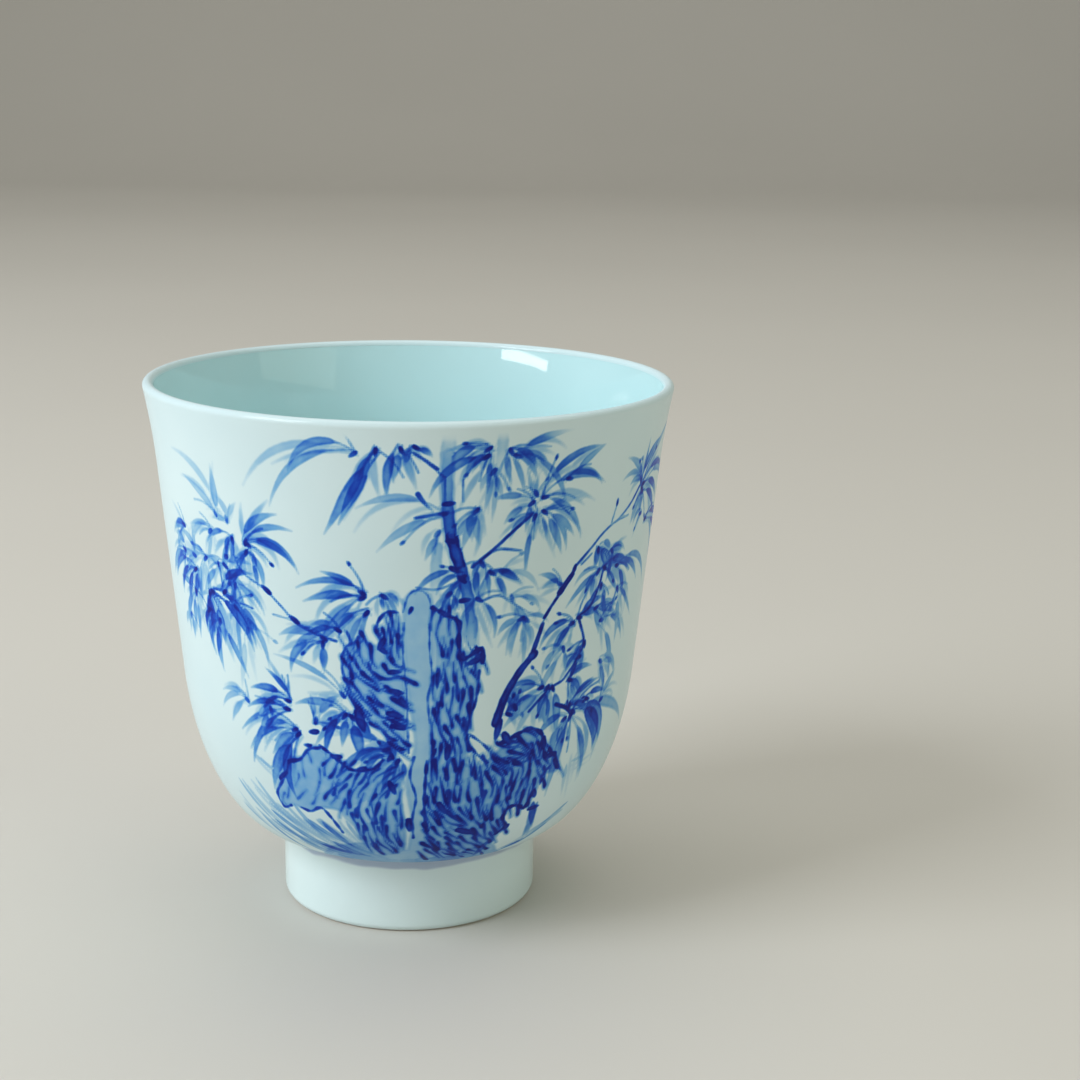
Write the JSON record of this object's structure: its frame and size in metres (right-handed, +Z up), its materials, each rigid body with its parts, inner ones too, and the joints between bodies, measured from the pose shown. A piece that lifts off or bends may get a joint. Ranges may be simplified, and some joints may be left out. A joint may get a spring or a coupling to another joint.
{
  "type": "teacup",
  "caption": "Small round handle-less teacup with a flared lip, a full belly and a low foot ring, for drinking hot tea.",
  "frame": {"origin": "centre of the foot ring's standing edge, on the surface that the cup stands on", "axes": "+Z up along the cup's axis; X and Y are level, and the middle of the painted side faces -Y"},
  "size_m": [0.075, 0.075, 0.077],
  "materials": {
    "painted_glaze": "clear glossy glaze, very slightly blue-white, over white porcelain painted with cobalt blue",
    "plain_glaze": "clear glossy glaze over white porcelain, with a narrow bare edge where the ring stands"
  },
  "bodies": {
    "root": {"cup_body": "painted_glaze", "foot_ring": "plain_glaze"}
  },
  "joints": []
}
